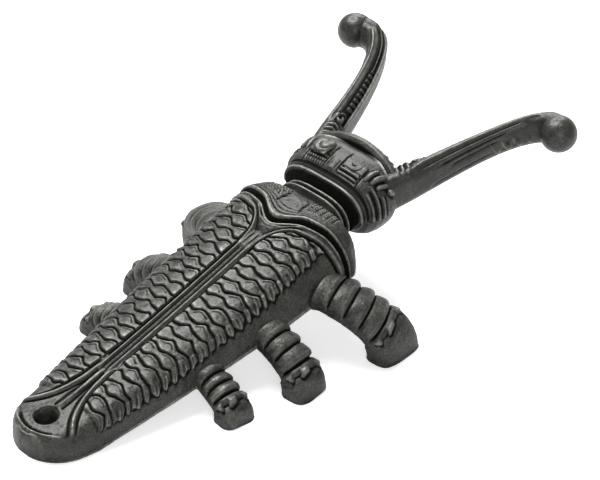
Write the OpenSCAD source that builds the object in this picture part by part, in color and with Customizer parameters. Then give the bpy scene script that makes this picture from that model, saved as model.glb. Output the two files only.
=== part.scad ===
// Boot jack in the form of a long-bodied beetle, one black iron casting.
// It stands on the floor at Z = 0, with its horns at +Y and its tail at -Y. The origin is on the floor, halfway
// between the tail tip and the front of the balls. Every form of the casting is a node of its own, and
// neighbours share the ring of points where they meet.

/* [Body lengths along Y] */
// Wing case, from the tail tip to the seam at its front, on the centre line
case_len = 127; // [122:0.5:138]
// Shield between the wing case and the neck
shield_len = 14.5; // [12:0.5:17]
// Neck with its two raised rings
neck_len = 6; // [5:0.5:8]
// Head, from its rear rim to its face
head_len = 24; // [22:0.5:27]
// Horns, from the head's face to the front of their balls
horn_reach = 56.5; // [52:0.5:62]

/* [Wing case] */
// Width across the tail, beside the hanging hole
tail_w = 30; // [28:0.5:32]
// Height of the tail's top above the floor
tail_h = 11; // [9.5:0.5:12]
// Width across the wing case at its front
case_w = 60; // [56:0.5:64]
// Height of the wing case's crown at its front
case_h = 42.5; // [40:0.5:45]
// Height of the side wall's lower edge above the floor at the front
belly_rise = 24; // [20:0.5:25]
// Flat foot under the tail, from the tip to where the lower edge lifts
tail_foot = 20; // [16:1:26]
// Length of the round of the tail tip
tail_round = 15; // [12:1:18]
// Iron thickness of the side walls and the crown over the hollow underside
wall = 4.5; // [3.5:0.25:5.5]
// How far the seam bows back towards the tail on the centre line
seam_bow = 5; // [3:0.5:7]

/* [Scales] */
// Rows of scales on each side of the spine
scale_rows = 24; // [20:2:28]
// Height of a scale above its groove
scale_h = 0.8; // [0.5:0.1:1.2]
// Width of one column of scales
column_w = 5; // [4.5:0.1:5.5]
// Share of the case's half width that the scales cover
scale_reach = 0.88; // [0.8:0.01:0.9]

/* [Spine] */
// Width of the triple rib along the spine
spine_w = 5.8; // [4.5:0.1:6.5]
// Height of the rib above the wing case
spine_h = 1.3; // [0.8:0.1:1.8]
// Distance from the tail tip to the back end of the rib
spine_back = 36; // [32:1:44]
// Distance from the seam back to the front end of the rib
spine_front = 17; // [10:1:24]

/* [Hanging hole] */
// Bore of the hole through the tail
hole_d = 9; // [7:0.25:10]
// Distance from the tail tip to the middle of the hole
hole_in = 11; // [10.5:0.5:14]

/* [Shield and neck] */
// Height of the shield's crown
shield_h = 44.5; // [42:0.5:46]
// Width across the neck's rings
neck_w = 34; // [31:0.5:36]
// Height of the top of the neck's rings
neck_h = 43.5; // [41.5:0.5:45]
// Depth of the grooves beside the neck's rings and at the seam
groove = 2; // [1.2:0.1:2.8]

/* [Head] */
// Width across the cheeks
head_w = 48; // [45:0.5:50]
// Height of the head's crown
head_h = 53; // [50:0.5:55]
// Height of the cheeks' widest line
cheek_z = 37; // [35:0.5:39]
// Height of the underside of the head
chin_z = 23.5; // [21:0.5:26]
// Height of the brow's lip
brow_h = 55.5; // [54:0.5:57]
// Thickness of the brow's lip
brow_t = 3.2; // [2.4:0.2:4]
// Distance across the head between the ends of the brow
brow_w = 40; // [36:0.5:42]
// How far the brow's ends lie below its middle
brow_drop = 5.5; // [4:0.5:7]
// How far the brow's middle lies ahead of its ends
brow_bow = 3.5; // [2:0.5:5]
// Height of the eye domes above the head
eye_h = 1.6; // [1:0.1:2.4]

/* [Horns] */
// Spacing of the ball centres, across X
ball_gap = 108; // [100:1:114]
// Diameter of the balls
ball_d = 14.4; // [13:0.2:16]
// Height of the ball centres
ball_z = 59.5; // [57:0.5:62]
// Spacing of the horns' centres at the head
root_gap = 36.5; // [35:0.5:39]
// Height of the horns' centres at the head
root_z = 41.5; // [40:0.5:43]
// Width of a horn at its root, at its middle and beside its ball
horn_w = [10, 8, 9.5];
// Height of a horn at its root, at its middle and beside its ball
horn_h = [15, 12, 12.5];

/* [Legs] */
// Distance from the centre line to the middle of each foot, from the front pair to the rear pair
foot_x = [50.5, 44, 37.5];
// Place of each foot along the body, back from the seam
foot_y = [-8.5, 31.5, 60.5];
// Place of each leg's root along the body, back from the seam
root_y = [5, 32, 59.5];
// Height of the middle of each leg's root
hip_z = [23.5, 17, 11];
// Thickness of each leg, across its rings
leg_d = [13.5, 12.5, 11.5];
// Breadth of each foot along Y
foot_w = [22, 17, 14.5];
// How far the leg's rings stand out
ring_out = 0.7; // [0.4:0.1:1.4]

/* [Hidden] */
$fn = 32;

// Places along Y, with the origin midway between the tail tip and the front of the balls
total_len = case_len + shield_len + neck_len + head_len + horn_reach;
tail_y = -total_len / 2;
seam_y = tail_y + case_len;
neck_y = seam_y + shield_len;
head_y = neck_y + neck_len;
face_y = head_y + head_len;
ball_y = face_y + horn_reach - ball_d / 2;

// Points across one section, for each half: the rib, the scaled slope, the side wall and the underside
rib_n = 3;
slope_n = 12;
wall_n = 3;
under_n = 6;
steps_per_row = 3;

// Thickness of the thin slices that a horn, a leg or the brow is strung between
slice_t = 0.2;
// Depth of the brow's root below its top
brow_root = 9;
half_n = rib_n + slope_n + wall_n;
top_n = 2 * half_n + 1;
bottom_n = under_n + 1;

// The rows of scales run from behind the seam to where the tail turns smooth
rows_front = seam_y - 10;
rows_back = tail_y + 20;
row_pitch = (rows_front - rows_back) / scale_rows;
// How far a groove swings as it runs across the columns, as a share of a row
groove_swing = 0.19;

// The neck's widest line lies this far below the cheeks', and its underside this far below that
throat_drop = 4;
throat_depth = 7;
throat_z = cheek_z - throat_drop;

function mix(a, b, t) = a + (b - a) * t;
function limit(v, low = 0, high = 1) = min(max(v, low), high);
function ease(t) = let (c = limit(t)) c * c * (3 - 2 * c);

// The wing case's half width, crown and lower edge at a place along Y
function case_half(y) =
    let (
        t = limit((y - tail_y) / case_len),
        d = limit((y - tail_y) / tail_round)
    )
    mix(tail_w, case_w, pow(sin(90 * t), 1.25)) / 2 * sqrt(1 - pow(1 - d, 2.4));
function case_crown(y) =
    let (t = limit((y - tail_y - hole_in) / (case_len - hole_in)))
    tail_h + (case_h - tail_h) * pow(t, 1.15) - 1.2 * pow(1 - limit((y - tail_y) / hole_in), 2);
function case_edge(y) = belly_rise * limit((y - tail_y - tail_foot) / (case_len - tail_foot));
function hollow(y) =
    ease((y - tail_y - tail_foot - 4) / 16) * ease((neck_y - y) / 12);

// How far a point is carried forward by the bow of the seam, at a share u of the half width
function bow(y, u) = seam_bow * u * u * ease((y - tail_y - tail_foot) / (case_len - tail_foot));

// The height of the section above its edge, as a share, at a share u of the half width, and the reverse
// A higher n makes a flatter top with a squarer shoulder
function arch(u, n) = pow(1 - pow(abs(u), n), 0.4);
function arch_inverse(h, n) = pow(1 - pow(h, 1 / 0.4), 1 / n);

// The scales are pillows between wavy grooves that run across the case. One groove swings against the next,
// so that a scale is widest where its neighbours in the rows before and behind are narrow. The first column's
// middle lies one width of the rib from the centre line.
function swing(row, x) = groove_swing * (row % 2 == 0 ? -1 : 1) * cos(180 * (x - spine_w) / column_w);
function pillow(v) = min(v / 0.3, 1) * (1 - 0.55 * v);
// How far forward and up a point of the scales lies, at a distance x from the centre line
function scale_shift(y, x) =
    y < rows_back - 0.01 || y > rows_front + 0.01 ? [0, 0] :
    let (place = (y - rows_back) / row_pitch + 0.001, row = floor(place), v = place - row)
    [row_pitch * mix(swing(row, x), swing(row + 1, x), v), scale_h * pillow(v)];

// One section: place y, half width, crown, edge height, rise of the underside, lip beside it, 1 where it has
// scales, share of the seam's bow, and squareness
function section(y, half, crown, edge, rise, lip, scaled = 0, bowed = 1, square = 3.2) =
    [y, half, crown, edge, rise, lip, scaled, bowed, square];

function side_point(s, k) =
    let (
        rib = min(spine_w / 2, 0.3 * s[1]),
        reach = scale_reach * s[1],
        t = (k - rib_n) / slope_n,
        x = k <= rib_n ? rib * k / rib_n : mix(rib, reach, t),
        drop = arch(scale_reach, s[8]) * (1 - (k - rib_n - slope_n) / wall_n),
        on_wall = k > rib_n + slope_n,
        px = on_wall ? s[1] * arch_inverse(max(drop, 0), s[8]) : x,
        share = on_wall ? max(drop, 0) : arch(x / s[1], s[8]),
        shift = (k > rib_n && k <= rib_n + slope_n) ? s[6] * scale_shift(s[0], x) : [0, 0]
    )
    [px, s[0] + s[7] * bow(s[0], px / s[1]) + shift[0], s[3] + (s[2] - s[3]) * share + shift[1]];

function under_point(s, k) =
    let (
        u = 1 - 2 * k / under_n,
        x = (s[1] - s[5]) * u,
        z = s[3] + s[4] * pow(1 - pow(abs(u), 3), 0.5)
    )
    [x, s[0] + s[7] * bow(s[0], x / s[1]), z];

function flip(p) = [-p[0], p[1], p[2]];
function ring(s) = concat(
    [for (k = [half_n:-1:1]) flip(side_point(s, k))],
    [for (k = [0:half_n]) side_point(s, k)],
    [for (k = [0:under_n]) under_point(s, k)]
);

// The strip of triangles that closes one end, between the outer points and the underside's points
function end_index(i) = top_n + under_n - round(i * under_n / (top_n - 1));
function end_faces(base) = [
    for (i = [0:top_n - 2])
        each (end_index(i) == end_index(i + 1)
            ? [[base + i, base + i + 1, base + end_index(i)]]
            : [[base + i, base + i + 1, base + end_index(i)],
               [base + i + 1, base + end_index(i + 1), base + end_index(i)]])
];
function turned(faces) = [for (f = faces) [f[2], f[1], f[0]]];

module loft(sections) {
    n = top_n + bottom_n;
    last = (len(sections) - 1) * n;
    sides = [
        for (r = [0:len(sections) - 2], i = [0:n - 1])
            let (a = r * n + i, b = r * n + (i + 1) % n)
            each [[b + n, b, a], [a + n, b + n, a]]
    ];
    polyhedron(
        points = [for (s = sections) each ring(s)],
        faces = concat(sides, end_faces(0), turned(end_faces(last)))
    );
}

// The sections of the wing case, from the tail tip to the seam
function case_section(y, drop = 0, scaled = 1) =
    section(y, case_half(y) - drop / 2, case_crown(y) - drop, case_edge(y),
        hollow(y) * (case_crown(y) - wall - case_edge(y)), min(wall, 0.45 * case_half(y)), scaled, 1,
        mix(7, 3.2, ease((y - tail_y) / 65)));
tail_places = [0.15, 0.8, 2, 4, 6.5, 9.5, 13, 17];
case_sections = concat(
    [for (d = tail_places) case_section(tail_y + d)],
    [for (k = [0:scale_rows * steps_per_row]) case_section(rows_back + k * row_pitch / steps_per_row)],
    [case_section(seam_y - 5), case_section(seam_y - 1), case_section(seam_y, groove)]
);

// The sections of the shield, narrowing to the neck
function shield_half(t) = mix(neck_w / 2 - groove, case_w / 2 + 0.3, pow(1 - pow(t, 3.2), 0.5));
function shield_section(t) =
    let (y = mix(seam_y, neck_y, t), tuck = ease((t - 0.45) / 0.55))
    section(y, shield_half(t), mix(shield_h, neck_h - groove, pow(t, 3)),
        mix(belly_rise, throat_z, tuck),
        mix(hollow(y) * (shield_h - wall - belly_rise), -throat_depth, tuck),
        mix(wall, 1, tuck), 0, 1 - t);
neck_ring = section(neck_y, neck_w / 2 - groove, neck_h - groove, throat_z, -throat_depth, 1, 0, 0);
shield_sections = concat(
    [case_section(seam_y, groove)],
    [for (t = [0.07, 0.25, 0.45, 0.62, 0.76, 0.87, 0.95]) shield_section(t)],
    [neck_ring]
);

// The neck's two rings
function neck_section(t, out) =
    section(neck_y + neck_len * t, neck_w / 2 - groove * (1 - out), neck_h - groove * (1 - out),
        throat_z, -throat_depth, 1, 0, 0);
neck_sections = [
    neck_ring, neck_section(0.1, 0.9), neck_section(0.26, 1), neck_section(0.4, 0.8), neck_section(0.5, 0),
    neck_section(0.6, 0.8), neck_section(0.74, 0.9), neck_section(0.86, 0.7), neck_section(1, -0.2)
];

// The head swells from its rear rim to the cheeks and closes at the face
function head_section(t, wide, high, deep) =
    section(head_y + head_len * t, head_w / 2 * wide, mix(cheek_z, head_h, high), cheek_z,
        (chin_z - cheek_z) * deep, 1, 0, 0);
head_sections = [
    neck_section(1, -0.2), head_section(0.03, 0.82, 0.6, 0.5), head_section(0.08, 0.89, 0.7, 0.62),
    head_section(0.12, 0.89, 0.69, 0.66), head_section(0.2, 0.95, 0.86, 0.84), head_section(0.32, 0.99, 0.95, 0.96),
    head_section(0.46, 1, 1, 1), head_section(0.6, 0.99, 0.96, 1), head_section(0.72, 0.97, 0.87, 0.97),
    head_section(0.82, 0.92, 0.74, 0.88), head_section(0.91, 0.8, 0.58, 0.7),
    head_section(0.97, 0.62, 0.42, 0.5), head_section(1, 0.42, 0.26, 0.32)
];

module wing_case_solid() {
    loft(case_sections);
}

module wing_case() {
    color("dimgray")
    difference() {
        wing_case_solid();
        translate([0, tail_y + hole_in, -1])
            cylinder(d = hole_d, h = tail_h + 4);
    }
}

// A low relief that stands on rows of points of a surface, with a height at every point
module raised(rows, heights) {
    m = len(rows[0]);
    last = (len(rows) - 1) * m;
    half = len(rows) * m;
    cells = [for (r = [0:len(rows) - 2], k = [0:m - 2]) r * m + k];
    rims = concat(
        [for (r = [0:len(rows) - 2]) [r * m, r * m + m]],
        [for (k = [0:m - 2]) [last + k, last + k + 1]],
        [for (r = [len(rows) - 2:-1:0]) [r * m + 2 * m - 1, r * m + m - 1]],
        [for (k = [m - 2:-1:0]) [k + 1, k]]
    );
    polyhedron(
        points = concat(
            [for (r = rows) each r],
            [for (r = [0:len(rows) - 1], k = [0:m - 1]) rows[r][k] + [0, 0, heights[r][k]]]
        ),
        faces = concat(
            [for (a = cells) each [[a, a + 1, a + m + 1], [a, a + m + 1, a + m]]],
            [for (a = cells) each [[half + a + m + 1, half + a + 1, half + a], [half + a + m, half + a + m + 1, half + a]]],
            [for (e = rims) each [[e[0], e[1], half + e[1]], [e[0], half + e[1], half + e[0]]]]
        )
    );
}

module spine_rib() {
    rib_sections = [for (s = case_sections) if (s[0] > tail_y + spine_back && s[0] < seam_y - spine_front) s];
    beads = [0.25, 0.75, 0.55, 1, 0.55, 0.75, 0.25];
    color("dimgray")
    raised(
        [for (s = rib_sections) [for (k = [-rib_n:rib_n]) k < 0 ? flip(side_point(s, -k)) : side_point(s, k)]],
        [for (s = rib_sections) spine_h * beads]
    );
}

module shield() {
    color("dimgray") loft(shield_sections);
}

module neck() {
    color("dimgray") loft(neck_sections);
}

module head_solid() {
    loft(head_sections);
}

module head() {
    color("dimgray") head_solid();
}

// The brow is a lip that runs across the front of the head, over the roots of the horns
brow_steps = 8;
module brow_slice(k) {
    a = 90 * (2 * k / brow_steps - 1);
    translate([brow_w / 2 * sin(a), face_y - 1 - brow_bow * (1 - cos(a)), brow_h - brow_drop * pow(sin(a), 2)])
        rotate([90, 0, 90 - a * 0.35])
            linear_extrude(slice_t, center = true)
                polygon([
                    [-brow_t / 2, -1.2], [-brow_t / 4, 0], [brow_t / 4, 0], [brow_t / 2, -1.2],
                    [brow_t / 2, -brow_t], [-1, -brow_root], [-brow_t, -brow_root]
                ]);
}
module brow() {
    color("dimgray")
    difference() {
        for (k = [0:brow_steps - 1])
            hull() {
                brow_slice(k);
                brow_slice(k + 1);
            }
        head_solid();
        horn_solid(1);
        horn_solid(-1);
    }
}

// The horns follow a curve with four guide points and end in a ball
function curve(p, t) =
    pow(1 - t, 3) * p[0] + 3 * pow(1 - t, 2) * t * p[1] + 3 * (1 - t) * t * t * p[2] + pow(t, 3) * p[3];
horn_guides = [
    [root_gap / 2, face_y - 7.5, root_z],
    [root_gap / 2 + 8, face_y + 19, root_z + 6.5],
    [ball_gap / 2 - 17, ball_y + 12.5, ball_z - 1.5],
    [ball_gap / 2, ball_y, ball_z]
];
horn_steps = 10;
module horn_slice(t) {
    p = curve(horn_guides, t);
    d = curve(horn_guides, min(t + 0.01, 1)) - curve(horn_guides, t - 0.01);
    w = mix(mix(horn_w[0], horn_w[1], ease(t / 0.55)), horn_w[2], ease((t - 0.55) / 0.4));
    h = mix(mix(horn_h[0], horn_h[1], ease(t / 0.55)), horn_h[2], ease((t - 0.55) / 0.4));
    translate(p)
        rotate([0, 0, atan2(d[1], d[0])])
            rotate([90, 0, 90])
                linear_extrude(slice_t, center = true)
                    scale([w / 2, h / 2])
                        circle(r = 1, $fn = 10);
}
module horn_solid(side) {
    mirror([side < 0 ? 1 : 0, 0, 0]) {
        for (k = [0:horn_steps - 1])
            hull() {
                horn_slice(k / (horn_steps + 0.6));
                horn_slice((k + 1) / (horn_steps + 0.6));
            }
        translate(horn_guides[3]) sphere(d = ball_d, $fn = 18);
    }
}
module horn(side) {
    color("dimgray")
    difference() {
        horn_solid(side);
        head_solid();
    }
}

// An eye is a low dome on the slope of the head, beside the crown
module eye(side) {
    eye_sections = [for (k = [5:9]) head_sections[k]];
    rise_along = [0.3, 0.8, 1, 0.8, 0.3];
    rise_across = [0.3, 0.75, 1, 1, 0.75, 0.3];
    color("dimgray")
    mirror([side < 0 ? 1 : 0, 0, 0])
    raised(
        [for (s = eye_sections) [for (k = [10:15]) side_point(s, k)]],
        [for (r = rise_along) eye_h * r * rise_across]
    );
}

// A leg leaves the side wall, bends down and stands on the floor, with rings around it
function leg_guides(pair) =
    let (
        y = seam_y - root_y[pair],
        x = case_half(y) - 0.6 * wall,
        foot = [foot_x[pair], seam_y - foot_y[pair], -1]
    )
    [
        [x, y, hip_z[pair]],
        [mix(x, foot[0], 0.7), mix(y, foot[1], 0.45), hip_z[pair] - 4],
        [foot[0] + 1, foot[1], 0.38 * hip_z[pair]],
        foot
    ];
leg_steps = 9;
module leg_slice(pair, k) {
    t = k / leg_steps;
    guides = leg_guides(pair);
    p = curve(guides, t);
    d = curve(guides, t + 0.01) - curve(guides, t - 0.01);
    out = k % 2 == 1 || k > leg_steps - 3 ? ring_out : 0;
    thick = leg_d[pair] - 2 * ring_out + 2 * out;
    broad = mix(foot_w[pair] * 0.9, foot_w[pair], t) - 2 * ring_out + 2 * out;
    translate(p)
        rotate([0, 0, atan2(d[1], d[0]) * (1 - t)])
            rotate([0, atan2(-d[2], norm([d[0], d[1]])), 0])
                rotate([90, 0, 90])
                    linear_extrude(slice_t, center = true)
                        scale([broad / 2, thick / 2])
                            circle(r = 1, $fn = 10);
}
module leg(pair, side) {
    color("dimgray")
    mirror([side < 0 ? 1 : 0, 0, 0])
    difference() {
        for (k = [0:leg_steps - 1])
            hull() {
                leg_slice(pair, k);
                leg_slice(pair, k + 1);
            }
        translate([0, tail_y, -20]) cube([ball_gap, total_len, 20]);
        wing_case_solid();
        loft(shield_sections);
    }
}

wing_case();
spine_rib();
shield();
neck();
head();
brow();
horn(-1);  // left_horn
horn(1);  // right_horn
eye(-1);  // left_eye
eye(1);  // right_eye
leg(0, -1);  // front_left_leg
leg(0, 1);  // front_right_leg
leg(1, -1);  // middle_left_leg
leg(1, 1);  // middle_right_leg
leg(2, -1);  // rear_left_leg
leg(2, 1);  // rear_right_leg
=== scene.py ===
import bmesh
import bpy
import math
import numpy as np
from mathutils import Matrix, Vector


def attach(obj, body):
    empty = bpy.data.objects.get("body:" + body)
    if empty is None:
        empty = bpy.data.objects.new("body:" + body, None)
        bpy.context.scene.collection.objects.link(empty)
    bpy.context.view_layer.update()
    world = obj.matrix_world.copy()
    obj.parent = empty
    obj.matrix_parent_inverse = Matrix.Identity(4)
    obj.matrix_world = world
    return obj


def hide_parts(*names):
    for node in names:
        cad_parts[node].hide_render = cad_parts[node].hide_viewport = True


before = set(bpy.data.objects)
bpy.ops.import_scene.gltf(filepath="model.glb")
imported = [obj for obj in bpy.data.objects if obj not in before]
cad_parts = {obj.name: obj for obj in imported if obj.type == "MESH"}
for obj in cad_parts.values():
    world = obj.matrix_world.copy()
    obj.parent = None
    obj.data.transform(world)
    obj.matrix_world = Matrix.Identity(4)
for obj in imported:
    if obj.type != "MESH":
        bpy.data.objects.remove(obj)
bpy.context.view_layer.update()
print("frame loaded:", len(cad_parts), "nodes")

mm = 0.001  # all the shapes below are worked out in millimetres


def mix(a, b, t):
    return a + (b - a) * t


def clip01(v):
    return np.clip(v, 0.0, 1.0)


def ease(t):
    c = clip01(t)
    return c * c * (3 - 2 * c)


def bead(d, width):
    return np.exp(-(d / width) ** 2)  # a soft ridge round d = 0


def ripple(a, b, c):
    # slow unevenness of a sand-cast surface, about -1 to 1
    return (np.sin(1.13 * a + 0.71 * b + 0.3) * np.sin(0.83 * b - 0.57 * c + 1.1)
            + 0.6 * np.sin(2.3 * a - 1.9 * c) * np.sin(2.1 * b + 1.3 * a + 2.0)) / 1.6


def newObject(name, data):
    obj = bpy.data.objects.new(name, data)
    bpy.context.collection.objects.link(obj)
    return obj


def meshFrom(name, points, faces):
    mesh = bpy.data.meshes.new(name)
    mesh.from_pydata([tuple(p) for p in points], [], faces)
    mesh.validate()
    mesh.polygons.foreach_set("use_smooth", [True] * len(mesh.polygons))
    mesh.update()
    return newObject(name, mesh)


def tubeFaces(rows, cols):
    r, c = np.meshgrid(np.arange(rows - 1), np.arange(cols), indexing="ij")
    nxt = (c + 1) % cols
    quads = np.stack([r * cols + c, r * cols + nxt, (r + 1) * cols + nxt, (r + 1) * cols + c], -1)
    caps = [list(range(cols))[::-1], [(rows - 1) * cols + k for k in range(cols)]]
    return quads.reshape(-1, 4).tolist() + caps


def gridNormals(p, wrap=True):
    du = np.gradient(p, axis=0)
    dv = (np.roll(p, -1, 1) - np.roll(p, 1, 1)) if wrap else np.gradient(p, axis=1)
    n = np.cross(dv, du)
    size = np.linalg.norm(n, axis=-1, keepdims=True)
    return n / np.maximum(size, 1e-9)


def stepsFor(p, axis, size):
    # how many rows or columns of the grid p make up a length of size mm
    spacing = np.median(np.linalg.norm(np.diff(p, axis=axis), axis=-1))
    return int(np.clip(round(size / max(spacing, 1e-3)), 1, p.shape[axis] // 4))


def hollowOf(p, wrap=True, reach=0.85):
    # how far each point lies below its surroundings, in mm; below nought on ridges
    n = gridNormals(p, wrap)
    middle = p.mean(axis=1, keepdims=True) if wrap else p.mean(axis=(0, 1)) - [0, 0, 5]
    n = n * np.sign((n * (p - middle)).sum())
    rows, cols = p.shape[:2]
    at, on = np.arange(rows), np.arange(cols)
    ends = ((at > 0) & (at < rows - 1))[:, None]
    total = np.zeros((rows, cols))
    for size, share in ((reach, 1.0), (reach * 2.2, 0.55)):
        step = np.clip(np.minimum(at, rows - 1 - at), 1, stepsFor(p, 0, size))
        before, after = p[np.maximum(at - step, 0)], p[np.minimum(at + step, rows - 1)]
        aside = stepsFor(p, 1, size)
        if wrap:
            left, right = np.roll(p, aside, 1), np.roll(p, -aside, 1)
        else:
            left, right = p[:, np.maximum(on - aside, 0)], p[:, np.minimum(on + aside, cols - 1)]
        along = (((before + after) / 2 - p) * n).sum(-1)
        across = (((left + right) / 2 - p) * n).sum(-1)
        total += share * (along * ends + across)
    return total


def noteHollow(obj, values):
    layer = obj.data.attributes.new("hollow", "FLOAT", "POINT")
    layer.data.foreach_set("value", np.asarray(values, dtype=np.float32).ravel())


def closedTube(name, p, extra=0.0, calm=0.0):
    # p is rows x columns x 3 in millimetres, with the columns going round
    # extra adds painted shade there, and a value below nought keeps it off; calm evens the hollow out
    rows, cols = p.shape[:2]
    p[:, :, 2] = np.maximum(p[:, :, 2], 0)
    obj = meshFrom(name, p.reshape(-1, 3) * mm, tubeFaces(rows, cols))
    noteHollow(obj, hollowOf(p) * (1 - calm) + extra)
    fixNormals(obj)
    return obj


def closedPatch(name, top, depth, calm=0.0):
    # a raised patch: its top, and the same points sunk by depth as its underside
    n = gridNormals(top, wrap=False)
    low = top - n * depth
    rows, cols = top.shape[:2]
    count = rows * cols
    faces = []
    for r in range(rows - 1):
        for c in range(cols - 1):
            a = r * cols + c
            faces.append([a, a + 1, a + cols + 1, a + cols])
            faces.append([count + a + cols, count + a + cols + 1, count + a + 1, count + a])
    rim = ([(0, c) for c in range(cols)] + [(r, cols - 1) for r in range(1, rows)]
           + [(rows - 1, c) for c in range(cols - 2, -1, -1)] + [(r, 0) for r in range(rows - 2, 0, -1)])
    idx = [r * cols + c for r, c in rim]
    for k in range(len(idx)):
        a, b = idx[k], idx[(k + 1) % len(idx)]
        faces.append([a, count + a, count + b, b])
    obj = meshFrom(name, np.concatenate([top.reshape(-1, 3), low.reshape(-1, 3)]) * mm, faces)
    dip = hollowOf(top, wrap=False).ravel() * (1 - calm)
    noteHollow(obj, np.concatenate([dip, dip]))
    fixNormals(obj)
    return obj


def fixNormals(obj):
    bm = bmesh.new()
    bm.from_mesh(obj.data)
    bmesh.ops.recalc_face_normals(bm, faces=bm.faces)
    bm.to_mesh(obj.data)
    bm.free()


body = {
    "tailY": -114.0,       # place of the tail tip along Y
    "caseLen": 127.0, "shieldLen": 14.5, "neckLen": 6.0, "headLen": 24.0,
    "tailW": 30.0, "tailH": 11.0, "caseW": 60.0, "caseH": 42.5,
    "bellyRise": 24.0, "tailFoot": 20.0, "tailRound": 15.0, "wall": 4.5, "seamBow": 5.0,
    "holeD": 9.0, "holeIn": 11.0,
    "shieldH": 44.5, "neckW": 34.0, "neckH": 43.5, "groove": 2.0,
    "headW": 48.0, "headH": 53.0, "cheekZ": 37.0, "chinZ": 23.5,
}
seamA = body["caseLen"]
neckA = seamA + body["shieldLen"]
headA = neckA + body["neckLen"]
faceA = headA + body["headLen"]
throatZ = body["cheekZ"] - 4


def caseHalf(a):
    t = clip01(a / body["caseLen"])
    d = clip01(a / body["tailRound"])
    full = mix(body["tailW"], body["caseW"], np.sin(np.pi / 2 * t) ** 1.25) / 2
    return full * np.sqrt(np.maximum(1 - (1 - d) ** 2.4, 1e-6))


def caseCrown(a):
    t = clip01((a - body["holeIn"]) / (body["caseLen"] - body["holeIn"]))
    droop = 1.2 * (1 - clip01(a / body["holeIn"])) ** 2
    return mix(body["tailH"], body["caseH"], t ** 1.15) - droop


def caseEdge(a):
    return body["bellyRise"] * clip01((a - body["tailFoot"]) / (body["caseLen"] - body["tailFoot"]))


def hollow(a):
    return ease((a - body["tailFoot"] - 4) / 16) * ease((neckA - a) / 12)


def caseRows(a):
    half = caseHalf(a)
    drop = body["groove"] * ease((a - seamA + 1.6) / 1.6)
    return {"half": half - drop / 2, "crown": caseCrown(a) - drop, "edge": caseEdge(a),
            "rise": hollow(a) * (caseCrown(a) - body["wall"] - caseEdge(a)),
            "lip": np.minimum(body["wall"], 0.45 * half), "square": mix(7, 3.2, ease(a / 65)), "bow": 1 + 0 * a}


def shieldRows(a):
    t = (a - seamA) / body["shieldLen"]
    tuck = ease((t - 0.45) / 0.55)
    fall = np.minimum(ease(t / 0.09), 1)
    half = mix(body["neckW"] / 2 - body["groove"], body["caseW"] / 2 + 0.3,
               np.sqrt(np.maximum(1 - clip01(t) ** 3.2, 0)))
    half = mix(body["caseW"] / 2 - body["groove"] / 2, half, fall)
    crown = mix(body["shieldH"], body["neckH"] - body["groove"], clip01(t) ** 3)
    crown = mix(body["caseH"] - body["groove"], crown, fall)
    edge = mix(body["bellyRise"], throatZ, tuck)
    rise = mix(hollow(a) * (body["shieldH"] - body["wall"] - body["bellyRise"]), -7, tuck)
    return {"half": half, "crown": crown, "edge": edge, "rise": rise,
            "lip": mix(body["wall"], 1, tuck), "square": 3.2 + 0 * a, "bow": 1 - t}


def neckRows(a):
    t = (a - neckA) / body["neckLen"]
    out = -1 + bead(t - 0.27, 0.17) * 1.02 + bead(t - 0.74, 0.17) * 0.95 - 0.15 * ease((t - 0.85) / 0.15)
    return {"half": body["neckW"] / 2 + body["groove"] * out, "crown": body["neckH"] + body["groove"] * out,
            "edge": throatZ + 0 * a, "rise": -7 + 0 * a, "lip": 1 + 0 * a, "square": 3.2 + 0 * a, "bow": 0 * a}


headShape = {  # shares of the width, the height over the cheeks and the depth under them, from the rim to the face
    "place": [0, 0.03, 0.08, 0.12, 0.2, 0.32, 0.46, 0.6, 0.72, 0.82, 0.91, 0.97, 1.0],
    "wide": [0.62, 0.82, 0.89, 0.89, 0.95, 0.99, 1.0, 0.99, 0.97, 0.92, 0.8, 0.62, 0.42],
    "high": [0.27, 0.6, 0.7, 0.69, 0.86, 0.95, 1.0, 0.96, 0.87, 0.74, 0.58, 0.42, 0.26],
    "deep": [0.52, 0.5, 0.62, 0.66, 0.84, 0.96, 1.0, 1.0, 0.97, 0.88, 0.7, 0.5, 0.32],
}


def headRows(a):
    t = (a - headA) / body["headLen"]
    near = np.linspace(-0.012, 0.012, 5)
    wide, high, deep = [np.mean([np.interp(t + d, headShape["place"], headShape[k]) for d in near], 0)
                        for k in ("wide", "high", "deep")]
    return {"half": body["headW"] / 2 * wide, "crown": mix(body["cheekZ"], body["headH"], high),
            "edge": mix(throatZ, body["cheekZ"], ease(t / 0.05)), "rise": (body["chinZ"] - body["cheekZ"]) * deep,
            "lip": 1 + 0 * a, "square": 3.2 + 0 * a, "bow": 0 * a}


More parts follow.
